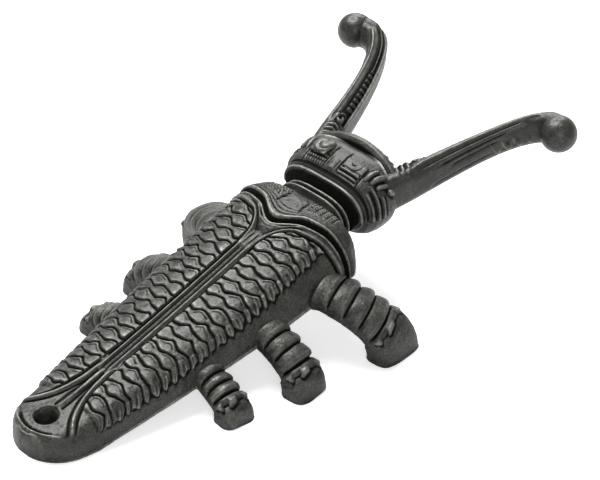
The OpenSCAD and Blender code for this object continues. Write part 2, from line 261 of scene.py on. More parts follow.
def sectionPoint(rows, a, w):
    # points on the sections at places a, at the distances w over the surface from the crown line
    # a is one value a row, w is rows x columns; gives the points and the length of each section's outer half
    dense = 240
    theta = np.linspace(0, np.pi / 2, dense)
    p = np.zeros(w.shape + (3,))
    topLen = np.zeros(len(a))
    v = np.linspace(0, 1, dense)[1:]
    for r in range(len(a)):
        half, crown, edge = rows["half"][r], rows["crown"][r], rows["edge"][r]
        n = rows["square"][r]
        x = half * np.sin(theta) ** (2 / n)
        z = edge + (crown - edge) * np.cos(theta) ** 0.8
        ux = (half - rows["lip"][r]) * np.cos(np.pi / 2 * v) ** (2 / 3)
        uz = edge + rows["rise"][r] * np.sin(np.pi / 2 * v)
        cx, cz = np.concatenate([x, ux]), np.concatenate([z, uz])
        run = np.concatenate([[0], np.cumsum(np.hypot(np.diff(cx), np.diff(cz)))])
        topLen[r] = run[dense - 1]
        want = np.abs(w[r])
        full = run[-1]
        px, pz = np.interp(np.minimum(want, full), run, cx), np.interp(np.minimum(want, full), run, cz)
        u = px / max(half, 1e-6)
        bow = body["seamBow"] * u * u * ease((a[r] - body["tailFoot"]) / (body["caseLen"] - body["tailFoot"]))
        p[r, :, 0] = px * np.sign(w[r] + 1e-12)
        p[r, :, 1] = body["tailY"] + a[r] + bow * rows["bow"][r]
        p[r, :, 2] = pz
    return p, topLen


def sectionLengths(rows, a):
    topLen = sectionPoint(rows, a, np.full((len(a), 1), 1e6))[1]
    v = np.linspace(0, 1, 200)
    full = np.zeros(len(a))
    for r in range(len(a)):
        ux = (rows["half"][r] - rows["lip"][r]) * np.cos(np.pi / 2 * v) ** (2 / 3)
        uz = rows["edge"][r] + rows["rise"][r] * np.sin(np.pi / 2 * v)
        full[r] = topLen[r] + rows["lip"][r] + np.hypot(np.diff(ux), np.diff(uz)).sum()
    return topLen, full


def castLoft(name, rowsOf, a, topCols, underCols, relief, lean=None):
    # relief gives the height over the section, or the height and how much painted shade to add there
    rows = rowsOf(a)
    topLen, full = sectionLengths(rows, a)
    share = np.concatenate([np.linspace(0, 1, topCols + 1), 1 + np.linspace(0, 1, underCols + 1)[1:]])
    w = np.zeros((len(a), len(share)))
    for r in range(len(a)):
        w[r] = np.where(share <= 1, share * topLen[r], topLen[r] + (share - 1) * (full[r] - topLen[r]))
    both = np.concatenate([w[:, :-1], -w[:, :0:-1]], 1)   # round the right side, then back up the left
    both[:, len(share) - 1] = full * 0.9999
    p = sectionPoint(rows, a, both)[0]
    p[:, len(share) - 1, 0] = 0
    if lean:
        forward, raised = lean(a[:, None], np.abs(p[..., 0]))
        p[..., 1] += forward
        p[..., 2] += raised
    n = gridNormals(p)
    n = n * np.sign(n[len(a) // 2, 0, 2])   # pointing outward
    height = relief({"a": a[:, None] + 0 * both, "w": np.abs(both), "side": np.sign(both + 1e-12),
                     "x": np.abs(p[..., 0]), "half": rows["half"][:, None], "end": topLen[:, None]})
    dark = 0.0
    if isinstance(height, tuple):
        height, dark = height
    under = clip01((np.abs(both) - topLen[:, None]) / 1.5)
    p = p + n * (height * (1 - under))[..., None]
    return closedTube(name, p, dark)


caseLook = {
    "rowsBack": 20.0, "rowsFront": 117.0, "rows": 24,   # rows of scales, as in the solid
    "swing": 0.19, "column": 5.0, "firstColumn": 5.8,
    "scaleHigh": 1.05, "grooveDeep": 0.7,
    "railAt": 2.15, "railHigh": 1.05, "railBack": 38.0, "railFront": 107.0,
    "fringe": 4.6,                                      # how far the fingers hang down over the shoulder
    "rearNear": 2.2, "rearSpread": 12.3, "rearFade": 9.0,        # branches round the hanging hole
    "frontPlace": 122.9, "frontNear": 2.4, "frontSpread": 16.5, "frontFade": 1.75,   # branches along the seam
    "tongueLong": 5.0, "tongueWide": 12.5, "tongueRise": 0.27,   # the shield's edge over the case
}
rowPitch = (caseLook["rowsFront"] - caseLook["rowsBack"]) / caseLook["rows"]


def rearBranch(a):
    # distance from the crown line of the branches that spread round the hanging hole, and its slope
    spread = caseLook["rearSpread"] * np.exp(-(a - body["holeIn"]) / caseLook["rearFade"])
    return caseLook["rearNear"] + spread, spread / caseLook["rearFade"]


def frontBranch(w):
    # place of the branches that spread out along the seam, and their slope
    fade = caseLook["frontFade"]
    past = np.maximum(w - caseLook["frontNear"], 0)
    spread = caseLook["frontSpread"] * np.exp(-past / fade)
    return caseLook["frontPlace"] + 0.03 * np.maximum(w - 8, 0) - spread, spread / fade


def tongue(x):
    # how far the shield's rear edge runs back over the case beside the centre line
    return caseLook["tongueLong"] * (1 - ease(x / caseLook["tongueWide"])) - 0.9 * bead(x - 20, 6)


def caseLean(a, x):
    back = -tongue(x) * ease((a - 113) / 12)
    return back, caseLook["tongueRise"] * back


def shieldLean(a, x):
    back = -tongue(x) * (1 - ease((a - seamA) / 10))
    return back, caseLook["tongueRise"] * back


def fieldEdge(a):
    # distance from the crown line of the scales' outer edge, where the fingers begin
    return 15.2 + 5.4 * np.sin(np.pi / 2 * clip01((a - 20) / 72))


def swingOf(row, x):
    # wavy grooves with sharp crests and round hollows; each swings against the next
    turn = np.pi * (x - caseLook["firstColumn"]) / caseLook["column"] + np.pi * (np.mod(row, 2) < 0.5)
    return caseLook["swing"] * (0.55 * np.cos(turn) + 0.45 * (1 - 2 * np.abs(np.sin(turn / 2))))


def scaleRows(a, x):
    # the share of the way from one groove to the next, their distance in mm,
    # how near the scale's middle is, and a number from 0 to 1 that differs from scale to scale
    place = (a - caseLook["rowsBack"]) / rowPitch
    row = np.floor(place)
    row = row - (place < row + swingOf(row, x)) + (place >= row + 1 + swingOf(row + 1, x))
    low, high = row + swingOf(row, x), row + 1 + swingOf(row + 1, x)
    even = np.mod(row, 2) < 0.5
    column = np.floor((x - caseLook["firstColumn"]) / (2 * caseLook["column"]) + 0.5 * even)
    chance = np.mod(np.sin(row * 12.99 + column * 78.23) * 437.5, 1.0)
    middle = clip01(0.5 + 0.5 * (swingOf(row + 1, x) - swingOf(row, x)) / 0.36)
    return (place - low) / (high - low), (high - low) * rowPitch, middle, chance


def caseRelief(at):
    a, w, x, side = at["a"], at["w"], at["x"], at["side"]
    branch, rearSlope = rearBranch(a)
    rearGap = (w - branch) / np.sqrt(1 + rearSlope ** 2)
    border, frontSlope = frontBranch(w)
    frontGap = (a - border) / np.sqrt(1 + frontSlope ** 2)
    edge = fieldEdge(a)
    over = clip01((w - edge) / caseLook["fringe"])
    # scales: each is highest at its tail side and runs down under the one before it
    wander = 0.22 * np.sin(a * 0.9 + side * 2 + x * 0.31) + 0.16 * np.sin(x * 1.3 + a * 0.23 * side)
    aside = x - 3.2 * over + 0.3 * np.sin(a * 0.7 + side)
    v, size, middle, chance = scaleRows(a + wander + 1.9 * over ** 1.3, aside)
    lip = 1 - np.exp(-v * size / 0.33)
    back = np.exp(-(1 - v) * size / 0.22)
    pillow = lip * (1 - 0.42 * v) * (0.62 + 0.38 * ease(middle * 1.25)) - 0.25 * back
    across = np.abs(np.cos(np.pi * (x - caseLook["firstColumn"]) / caseLook["column"]))
    groove = bead(v * size - 0.05, 0.42) + bead((1 - v) * size + 0.05, 0.34)
    scale = caseLook["scaleHigh"] * pillow * (0.8 + 0.35 * chance)
    scale = scale - caseLook["grooveDeep"] * groove * (0.75 + 0.25 * across)
    secondLine = bead((1 - v) * size - 1.15 - 0.3 * chance, 0.24) * ease((middle - 0.25) / 0.2)
    scale = scale - 0.32 * (chance > 0.25) * secondLine
    # the fingers of the fringe: round ends that hang over the shoulder, with a line down each
    finger = np.maximum(np.sin(np.pi * clip01(v)), 0) ** 0.5
    hang = edge + caseLook["fringe"] * (0.55 + 0.45 * finger + 0.12 * np.sin(a * 1.7 + side))
    fingers = 1.25 * finger - 0.45 * bead(v - 0.45, 0.09) - 0.35 * bead(v - 0.72, 0.06) - 0.15
    fall = ease((over - 0.02) / 0.3)
    h = mix(scale, fingers, fall)
    inside = ease((w - np.where(a < 55, branch + 1.75, 3.9)) / 0.5)
    mask = inside * ease((-frontGap - 1.3) / 0.6) * ease((a - 20.5) / 2.2) * ease((hang - w) / 0.7)
    h = mask * (0.15 + h)
    # grooves beside the rails
    h = h - 0.8 * bead(w - 3.75, 0.45) * ease((a - caseLook["railBack"] - 4) / 5) * ease((110 - a) / 4)
    h = h - 0.45 * bead(w - 1.15, 0.3) * ease((a - 24) / 3) * ease((117 - a) / 5)
    # the branches round the hanging hole
    rearOn = ease((caseLook["railBack"] + 4 - a) / 5) * ease((a - 6) / 4) * ease((at["half"] - 1.2 - w) / 2.5)
    besides = 0.85 * bead(rearGap - 1.55, 0.36) + 0.75 * bead(rearGap + 1.5, 0.38)
    h = h + rearOn * (0.75 * bead(rearGap, 0.9) - besides)
    # the middle flute that runs to the hole, in a dark fork
    flute = ease((caseLook["railBack"] + 2 - a) / 4) * ease((a - 15.8) / 1.5)
    h = h + flute * (0.55 * bead(w, 0.85) - 0.75 * bead(w - 1.7 - 0.02 * (30 - a), 0.42))
    h = h - 0.5 * ease((a - 28) / 4) * ease((38.5 - a) / 4) * bead(w - 1.6, 0.5)
    # the raised border along the seam, with fine veins between its arms
    frontOn = ease((a - 105) / 3)
    h = h + frontOn * (0.95 * bead(frontGap, 0.7) - 0.95 * bead(frontGap + 1.35, 0.38))
    veins = ease((frontGap - 0.8) / 0.5) * ease((125.6 - a) / 1.0) * frontOn * ease((17 - w) / 8)
    h = h + veins * (0.6 * np.cos(2 * np.pi * (frontGap - 1.9) / 1.75) - 0.15)
    h = h + (0.3 * bead(a - 124.3, 0.4) + 0.7 * bead(a - 125.4, 0.4)) * ease((at["end"] * 0.8 - w) / 4)
    # painted shade along the seam, where the shield's rear edge overhangs the case
    dark = 1.5 * ease((a - 125.9) / 0.35)
    # the crescent rib along the tail's rim, and the dished rim of the hole
    tip = a < 16
    rimA = np.linspace(0, 16, 90)
    rimHalf = caseHalf(rimA)
    near = np.full(a.shape, 99.0)
    rowsOn = np.nonzero(tip[:, 0])[0]
    near[rowsOn] = np.min(np.hypot(x[rowsOn][..., None] - rimHalf, a[rowsOn][..., None] - rimA), -1)
    flat = (w < at["end"] * 0.75) * ease((9.5 - a) / 3)
    h = h + flat * (0.65 * bead(near - 2.3, 0.45) - 0.85 * bead(near - 3.3, 0.5) * ease((9.5 - x) / 3))
    plan = np.hypot(w, a - body["holeIn"])
    h = h - 0.25 * (1 - ease((plan - body["holeD"] / 2) / 0.35)) * (a < 20)
    h = h + 0.2 * bead(plan - body["holeD"] / 2 - 0.8, 0.4) * (a < 20)
    # the smooth wall is a little uneven, as cast
    h = h + 0.10 * ripple(a * 0.35, w * 0.45, side * 2.0) + 0.05 * ripple(a * 1.3, w * 1.6, side)
    return h * ease(a / 2.5), dark


caseA = np.concatenate([np.linspace(0.16, 2.0, 9), np.linspace(2.2, 124.5, 560), np.linspace(124.8, 127, 14)])
scaledCase = castLoft("scaledCase", caseRows, caseA, 150, 16, caseRelief, caseLean)

drill = bpy.data.meshes.new("holeCutter")
cutter = newObject("holeCutter", drill)
ringCount = 72
angles = np.linspace(0, 2 * np.pi, ringCount, endpoint=False)
holeY, holeR = body["tailY"] + body["holeIn"], body["holeD"] / 2
low = [(holeR * math.cos(t) * mm, (holeY + holeR * math.sin(t)) * mm, -0.004) for t in angles]
high = [(x, y, 0.02) for x, y, z in low]
sides = [[k, (k + 1) % ringCount, ringCount + (k + 1) % ringCount, ringCount + k] for k in range(ringCount)]
drill.from_pydata(low + high, [], sides + [list(range(ringCount))[::-1], list(range(ringCount, 2 * ringCount))])
cut = scaledCase.modifiers.new("hole", "BOOLEAN")
cut.operation = "DIFFERENCE"
cut.object = cutter
cut.solver = "EXACT"
depsgraph = bpy.context.evaluated_depsgraph_get()
drilled = bpy.data.meshes.new_from_object(scaledCase.evaluated_get(depsgraph))
scaledCase.modifiers.clear()
scaledCase.data = drilled
bpy.data.objects.remove(cutter)
drilled.polygons.foreach_set("use_smooth", [True] * len(drilled.polygons))
print("wing case:", len(drilled.polygons), "faces")

# the triple rib: two rails with a dotted strip between them
ribA = np.linspace(caseLook["railBack"] - 1.0, caseLook["railFront"] + 2.5, 420)
ribW = np.linspace(-3.2, 3.2, 45)
ribPoints = sectionPoint(caseRows(ribA), ribA, np.tile(ribW, (len(ribA), 1)))[0]
ribUp = gridNormals(ribPoints, wrap=False)
ribUp = ribUp * np.sign(ribUp[200, 22, 2])
aa, ww = np.meshgrid(ribA, np.abs(ribW), indexing="ij")
ends = ease((aa - ribA[0]) / 2.5) * ease((ribA[-1] - aa) / 2.5)
ribHigh = caseLook["railHigh"] * bead(ww - caseLook["railAt"], 0.68) + 0.62 * bead(ww, 0.7)
ribHigh = ribHigh + 0.16 * bead(ww, 0.55) * np.sin(2 * np.pi * aa / 1.25) * np.sin(2 * np.pi * aa / 4.3 + 1)
ribHigh = ribHigh * (0.35 + 0.65 * ends) - 0.1 - 0.55 * ease((ww - 2.75) / 0.4)
spineRails = closedPatch("spineRails", ribPoints + ribUp * ribHigh[..., None], 1.2)
print("spine rails done")


shieldLook = {"lineGap": 1.15, "lineDeep": 0.4, "hatchHigh": 0.5}


def shieldRelief(at):
    a, w, side = at["a"], at["w"], at["side"]
    t = a - seamA
    h = 0 * a
    for k in (1, 2, 3):   # fine lines that follow the seam
        h = h - shieldLook["lineDeep"] * bead(t - 1.6 - shieldLook["lineGap"] * k, 0.22)
    on = ease((t - 5.6) / 1.2) * ease((body["shieldLen"] - 1.3 - t) / 1.2)
    stroke = (t + 0.22 * w) / 1.35
    dashes = np.sin(2 * np.pi * stroke) * np.sin(2 * np.pi * (w - 0.5 * t) / 3.1 + np.floor(stroke) * 2.1)
    h = h + on * shieldLook["hatchHigh"] * clip01(dashes * 1.4) * ease((w - 4) / 3) * ease((22 - w) / 4)
    # a leaf crease on each side, with veins that run into it
    crease = w - 5.2 - 0.055 * (t - 8) ** 2
    h = h - 0.55 * bead(crease, 0.4) * ease((t - 3.5) / 1.5) * ease((12.6 - t) / 1.5)
    veins = np.sin(2 * np.pi * (t * 0.75 - np.abs(crease) * 0.55) / 1.9)
    h = h + 0.16 * veins * bead(crease, 3.4) * on
    h = h + 0.3 * bead(t - 1.4, 0.5)
    # painted shade in the seam groove, and towards the groove before the neck
    dark = 1.5 * (1 - ease((t - 0.7) / 0.35)) + 0.5 * ease((t - 13.6) / 0.8)
    return h + 0.08 * ripple(a * 0.4, w * 0.4, side * 1.5) + 0.09 * ripple(a * 1.4, w * 1.5, side), dark


def neckRelief(at):
    a, w, side = at["a"], at["w"], at["side"]
    # painted shade in the recesses: at the seam with the shield, between the two beads and towards the head's rim
    dark = 0.5 * ease((a - 146.4) / 0.6) + 0.3 * bead(a - 144.5, 0.6) + 0.4 * (1 - ease((a - 141.5) / 0.7))
    h = 0.35 * bead(a - 142.9, 0.35) + 0.35 * bead(a - 145.7, 0.35) - 0.3 * bead(a - 144.4, 0.6)
    return h + 0.04 * ripple(a * 0.6, w * 0.5, side), dark


shieldA = np.concatenate([np.linspace(seamA, seamA + 1.8, 12), np.linspace(seamA + 2, neckA, 64)])
smoothShield = castLoft("smoothShield", shieldRows, shieldA, 120, 22, shieldRelief, shieldLean)
ringedNeck = castLoft("ringedNeck", neckRows, np.linspace(neckA, headA, 46), 76, 30, neckRelief)
print("shield and neck done")


headLook = {
    "rimBead": 0.6, "ribHigh": 0.5, "browRidge": 0.7, "browGroove": 1.7, "crownHigh": 2.3,
    "eyeAt": (158.6, 8.8), "eyeWide": 3.8,
    "leaves": ((15.9, 158.3, 1.0), (18.6, 159.2, 1.1), (21.6, 160.2, 1.15)),   # place across, place along, size
}


def crescentLine(w):
    return 168.0 - 3.6 * (w / 19.0) ** 2   # the groove behind the brow


def headRelief(at):
    a, w, side = at["a"], at["w"], at["side"]
    t = a - headA
    # the rim: two thin beads above the dark recess
    h = headLook["rimBead"] * (bead(t - 1.3, 0.36) + 0.8 * bead(t - 2.7, 0.36))
    h = h - 0.5 * bead(t - 2.0, 0.3) - 0.45 * bead(t - 3.5, 0.4)
    # the crown swells up to the groove behind the brow
    gap = a - crescentLine(w)
    on = ease((21 - w) / 3)
    h = h + headLook["crownHigh"] * on * ease((t - 7) / 11) * (1 - ease((gap + 1.2) / 1.6))
    cut = 0.35 + 0.65 * ease((w - 2.0) / 5.0)
    h = h + on * (headLook["browRidge"] * bead(gap + 1.7, 0.4) - headLook["browGroove"] * cut * bead(gap, 0.95))
    # the field of the eye, between a line beside the crown and one over the cheek
    field = ease((w - 3.6) / 0.5) * ease((13.6 - w) / 0.5)
    right = side > 0
    bars = field * ease((t - 4.0) / 0.5) * ease((8.6 - t) / 0.8)
    h = h + bars * 0.55 * np.cos(2 * np.pi * (t - 4.9 - 0.03 * w) / 1.65) * right
    h = h - 0.6 * bead(w - 14.0, 0.38) * ease((t - 3.6) / 0.8) * ease((12.5 - t) / 2)
    h = h - 0.5 * bead(w - 3.3, 0.34) * ease((t - 3.8) / 0.8) * ease((15 - t) / 2)
    # the other side carries small bricks behind its eye
    bricks = np.cos(2 * np.pi * (w - 3.6) / 2.5) ** 2 * np.cos(np.pi * (t - 4.4) / 1.7) ** 2
    brickOn = ease((w - 3.4) / 0.5) * ease((13.4 - w) / 0.6) * ease((t - 4.0) / 0.6) * ease((9.6 - t) / 0.8)
    h = h + brickOn * (1 - right) * (0.75 * clip01(bricks * 2.2) - 0.3)
    # fine flutes beside the smooth top
    flutes = ease((3.0 - w) / 0.8) * ease((w - 0.6) / 0.6) * ease((t - 4.2) / 1) * ease((10 - t) / 2)
    h = h + flutes * 0.25 * np.cos(2 * np.pi * w / 1.25)
    # three leaves and a bead under the eye
    for lw, la, size in headLook["leaves"]:
        across = (w - lw - 0.10 * (a - la)) / 1.05
        h = h + 0.95 * size * np.maximum(1 - across ** 2 - ((a - la) / 3.6) ** 2, 0) ** 0.6
    h = h + 1.7 * np.maximum(1 - (np.hypot(a - 162.3, w - 24.6) / 1.45) ** 2, 0) ** 0.5
    # cheek ribs
    cheek = ease((w - 18.5) / 3.0) * ease((t - 3.9) / 0.8) * ease((13.5 - t) / 2)
    cheek = cheek * (1 - ease((t - 8) / 2) * ease((26 - w) / 2))
    h = h + cheek * headLook["ribHigh"] * np.cos(2 * np.pi * (t - 5.3) / 2.6)
    # painted shade in the recess behind the rim, and in the groove behind the brow
    dark = 0.6 * (1 - ease((t - 0.6) / 0.5)) + 1.1 * on * cut * ease((gap + 1.0) / 0.5) * ease((4.5 - gap) / 1.5)
    return h + 0.07 * ripple(a * 0.5, w * 0.5, side * 1.7), dark


headRowsA = np.concatenate([np.linspace(headA, headA + 4.5, 44), np.linspace(headA + 4.65, faceA, 130)])
ringHead = castLoft("carvedHead", headRows, headRowsA, 132, 44, headRelief)


def eyePiece(name, side):
    ea, ew = headLook["eyeAt"]
    size = headLook["eyeWide"]
    a = np.linspace(ea - size, ea + size, 72)
    w = np.linspace(ew - size, ew + size, 72) * side
    p = sectionPoint(headRows(a), a, np.tile(w, (len(a), 1)))[0]
    n = gridNormals(p, wrap=False)
    n = n * np.sign(n[36, 36, 2])
    da, dw = np.meshgrid((a - ea) / size, (np.abs(w) - ew) / size, indexing="ij")
    r = np.hypot(da, dw)
    turn = np.arctan2(dw, da)
    dome = 0.35 * np.sqrt(np.maximum(1 - (r / 0.98) ** 2, 0)) - 0.45 * ease((r - 0.7) / 0.25)
    swirl = np.cos(2 * turn - 7.5 * r + 0.8) * 0.42 * ease((0.85 - r) / 0.2) * ease((r - 0.1) / 0.25)
    pupil = 0.2 * bead(r, 0.2)
    return closedPatch(name, p + n * (dome + swirl + pupil + 0.2)[..., None], 1.8, 0.45)


leftEye = eyePiece("leftSwirlEye", -1)
rightEye = eyePiece("rightSwirlEye", 1)
print("head and eyes done")

# the brow: a thin lip that leans over the face
browLook = {"width": 40.0, "drop": 5.5, "bow": 3.5, "top": 55.5, "thick": 4.6, "deep": 9.0}
steps, around = 161, 56
s = np.linspace(-1, 1, steps)
browX = browLook["width"] / 2 * np.sin(s * np.pi / 2)
browY = body["tailY"] + faceA - 1 - browLook["bow"] * (1 - np.cos(s * np.pi / 2))
browZ = browLook["top"] - browLook["drop"] * np.sin(s * np.pi / 2) ** 2
heading = np.arctan2(np.gradient(browY), np.gradient(browX))
lip = np.linspace(0, 2 * np.pi, around, endpoint=False)
outlineV = np.sin(lip)      # up and down
outlineU = np.cos(lip)      # forward and back
browP = np.zeros((steps, around, 3))
browShade = np.zeros((steps, around))
for k in range(steps):
    taper = 0.55 + 0.45 * math.sqrt(max(1 - abs(s[k]) ** 3, 0))
    tall = browLook["deep"] / 2
    thick = browLook["thick"] / 2 * taper * (0.8 + 0.2 * outlineV)
    u = np.sign(outlineU) * np.abs(outlineU) ** 0.7 * thick + 1.1 * (outlineV + 1) * 0.35 - 1.6
    v = np.sign(outlineV) * np.abs(outlineV) ** 0.8 * tall - tall
    top = ease((v + 3.0) / 2.0)
    u = u + 0.35 * bead(v + 1.4, 0.7) * (outlineU > 0) - 0.35 * bead(v + 2.9, 0.5) * (outlineU > 0)
    # beads along the lip's front edge, and a sharp rim along its back
    knobs = max(math.cos(2 * math.pi * s[k] * 7 + 0.6), 0) ** 0.7 * float(ease((abs(s[k]) - 0.25) / 0.2))
    u = u + 0.6 * (outlineU > 0.2) * knobs * bead(v + 1.2, 1.1)
    v = v - 0.3 * top * bead(outlineU + 0.45, 0.2)
    # painted shade down the lip's back and underside, below its top edge, over the groove behind it
    browShade[k] = 0.8 * ease((-v - 1.1) / 0.7) * (outlineU < 0.2)
    nx, ny = -math.sin(heading[k]), math.cos(heading[k])
    browP[k, :, 0] = browX[k] + nx * u
    browP[k, :, 1] = browY[k] + ny * u
    browP[k, :, 2] = browZ[k] + v
browLip = closedTube("browLip", browP, browShade)
print("brow done")


def apart(psi, at):
    return np.angle(np.exp(1j * (psi - at)))


horn = {
    "rootX": 18.25, "rootZ": 41.5, "ballX": 54.0, "ballZ": 59.5, "ballD": 14.4, "reach": 56.5,
    "wide": (10.0, 8.0, 9.5), "high": (15.0, 12.0, 12.5),   # at the root, in the middle and at the ball
    "rail": 1.35, "innerRail": 2.85, "panel": (1.6, 2.75), "collarAt": 1.9,   # angles round the horn
    "collars": (7.5, 9.9, 12.3), "curlAt": (17.0, 2.05), "curlWide": 3.4, "panelDeep": 1.3,
    # long grooves: angle, depth, and how far from the root and from the ball they end
    "grooves": ((0.85, 0.4, 12, 15), (0.4, 0.6, 20, 22), (0.02, 0.5, 24, 26), (-0.45, 0.35, 15, 30)),
    "inset": 0.15,   # keeps the ball inside the solid's box
}
faceY = body["tailY"] + faceA
ballY = faceY + horn["reach"] - horn["ballD"] / 2
hornGuides = np.array([
    [horn["rootX"], faceY - 7.5, horn["rootZ"]],
    [horn["rootX"] + 8, faceY + 19, horn["rootZ"] + 6.5],
    [horn["ballX"] - 17, ballY + 12.5, horn["ballZ"] - 1.5],
    [horn["ballX"], ballY, horn["ballZ"]],
])


def curvePoint(g, t):
    t = np.asarray(t)[:, None]
    return (1 - t) ** 3 * g[0] + 3 * (1 - t) ** 2 * t * g[1] + 3 * (1 - t) * t ** 2 * g[2] + t ** 3 * g[3]


def runAlong(g, count):
    # evenly spaced places along a curve: their distance, point, parameter and heading
    t = np.linspace(0, 1, 600)
    run = np.linalg.norm(np.diff(curvePoint(g, t), axis=0), axis=1)
    run = np.concatenate([[0], np.cumsum(run)])
    s = np.linspace(0, run[-1], count)
    t = np.interp(s, run, t)
    p = curvePoint(g, t)
    heading = np.gradient(p, axis=0)
    return s, p, t, heading / np.linalg.norm(heading, axis=1)[:, None]


def boxyRing(psi, wide, high, square):
    # radius and angle round a section between an oval and a box
    c, q = np.cos(psi), np.sin(psi)
    ex = np.sign(c) * np.abs(c) ** (2 / square) * wide
    ey = np.sign(q) * np.abs(q) ** (2 / square) * high
    return np.hypot(ex, ey), np.arctan2(ey, ex)


def ringRound(centre, angle, radius, aside, up):
    return centre + (np.cos(angle) * radius)[:, None] * aside + (np.sin(angle) * radius)[:, None] * up


def hornPiece(name, side):
    s, p, t, tangent = runAlong(hornGuides, 250)
    total = s[-1]
    radius = horn["ballD"] / 2
    beyond = np.linspace(0, radius, 26)[1:]
    p = np.concatenate([p, p[-1] + beyond[:, None] * tangent[-1]])
    tangent = np.concatenate([tangent, np.tile(tangent[-1], (len(beyond), 1))])
    s = np.concatenate([s, total + beyond])
    t = np.concatenate([t, np.ones(len(beyond))])
    wide, high = [mix(mix(root, waist, ease(t / 0.55)), end, ease((t - 0.55) / 0.4)) / 2
                  for root, waist, end in (horn["wide"], horn["high"])]
    flare = ease((13 - s) / 13)
    wide, high = wide - 0.6 * flare, high + 0.2 * flare
    around = 128
    psi = np.linspace(-np.pi, np.pi, around, endpoint=False)
    out = np.zeros((len(s), around, 3))
    hornShade = np.zeros((len(s), around))
    for k in range(len(s)):
        flat = np.array([tangent[k][1], -tangent[k][0], 0.0])
        flat = flat / np.linalg.norm(flat)
        up = np.cross(flat, tangent[k])
        ball = math.sqrt(max(radius ** 2 - (s[k] - total) ** 2, 0)) if abs(s[k] - total) < radius else 0.0
        fade = float(1 - ease((s[k] - total + 3.0) / 4.0))
        shank, place = boxyRing(psi, wide[k] * fade, high[k] * fade, 2.6)
        if fade == 0:
            place = psi
        far = s[k]
        toBall = ease((total - 6.5 - far) / 5)
        # a smooth rail along the top, and one along the inner side
        onRail = ease((far - 12) / 5) * toBall
        shank = shank + 0.75 * onRail * bead(apart(psi, horn["rail"]), 0.15)
        shank = shank + 0.45 * onRail * bead(apart(psi, horn["innerRail"]), 0.13)
        # the sunk panel between them: cross ribs first, long grooves after
        panel = ease((psi - horn["panel"][0]) / 0.12) * ease((horn["panel"][1] - psi) / 0.12)
        shank = shank - horn["panelDeep"] * panel * onRail
        # painted shade in the sunk panel, and on the inner side of the root where the horn meets the head
        hornShade[k] = 0.3 * panel * onRail + 0.25 * ease((psi - horn["panel"][0]) / 0.4) * ease((9 - far) / 4)
        ribs = ease((far - 21) / 2) * ease((total * 0.62 - far) / 4)
        shank = shank + 0.55 * panel * ribs * math.cos(math.pi * far / 2.9) ** 2 * ease((psi - 1.8) / 0.25)
        grooves = ease((far - total * 0.58) / 4) * toBall
        shank = shank + 0.4 * panel * grooves * np.cos(2 * np.pi * (psi - horn["rail"]) / 0.42)
        # nested collars that point along the horn
        v = np.abs(apart(psi, horn["collarAt"]))
        strong = ease((1.3 - v) / 0.5) * (0.1 + 0.9 * ease((psi - 1.3) / 0.4))
        for at in horn["collars"]:
            past = far - at + 1.9 * v
            shank = shank + (0.7 * bead(past, 0.5) - 0.45 * bead(past - 1.15, 0.42)) * strong
        # a curl where the collars end
        ahead, aside = far - horn["curlAt"][0], apart(psi, horn["curlAt"][1]) * 6.5
        away, bend = np.hypot(ahead, aside), np.arctan2(aside, ahead)
        inside = ease((horn["curlWide"] - away) / 0.9)
        shank = shank + inside * (0.75 + 0.5 * np.cos(bend - 1.9 * away))
        # long grooves down the outer side
        for at, deep, start, stop in horn["grooves"]:
            live = ease((far - start) / 6) * ease((total - stop - far) / 6)
            shank = shank - deep * live * bead(apart(psi, at + 0.004 * far), 0.09)
        # rounded bumps on the outer side beyond the middle
        knots = ease((far - total * 0.56) / 4) * ease((total * 0.84 - far) / 4)
        lump = abs(math.sin(math.pi * far / 3.1 + math.sin(far * 0.8))) ** 0.7
        shank = shank + knots * 0.45 * lump * bead(apart(psi, -0.2 + 0.2 * math.sin(far * 1.3)), 0.2)
        blend = float(clip01((ball - shank.min() + 1.0) / 2.0)) if ball > 0 else 0.0
        angle = place + apart(psi, place) * blend
        out[k] = ringRound(p[k], angle, np.maximum(shank, ball), flat, up)
    out[:, :, 0] *= side
    # a small dimple on the ball's top
    centre = np.array([horn["ballX"] * side, ballY, horn["ballZ"]])
    away = out - centre
    reach = np.linalg.norm(away, axis=-1)
    dirs = away / np.maximum(reach, 1e-6)[..., None]
    spot = np.array([-0.1 * side, -0.25, 0.96])
    near = np.arccos(np.clip((dirs * spot).sum(-1), -1, 1))
    dent = 0.45 * bead(near, 0.16) * (reach < radius * 1.1)
    out = out - dirs * dent[..., None]
    out[:, :, 1] = np.minimum(out[:, :, 1], faceY + horn["reach"] - horn["inset"])
    out[:, :, 2] = np.minimum(out[:, :, 2], horn["ballZ"] + radius - horn["inset"])
    onBall = ease((radius + 0.6 - np.linalg.norm(out - centre, axis=-1)) / 0.5)
    # painted shade from the panel and root, taken off the ball, with painted shade in the dimple on the ball's top
    return closedTube(name, out, hornShade - 0.45 * onBall + 0.6 * onBall * bead(near, 0.2), onBall)


leftHorn = hornPiece("leftBallHorn", -1)
rightHorn = hornPiece("rightBallHorn", 1)
print("horns done")


legs = {
    "front": {"footX": 50.5, "footA": 135.5, "rootA": 122.0, "hip": 23.5, "thick": 13.5, "foot": 22.0, "rings": 4},
    "middle": {"footX": 44.0, "footA": 95.5, "rootA": 95.0, "hip": 17.0, "thick": 12.5, "foot": 17.0, "rings": 3},
    "rear": {"footX": 37.5, "footA": 66.5, "rootA": 67.5, "hip": 11.0, "thick": 11.5, "foot": 14.5, "rings": 3},
}


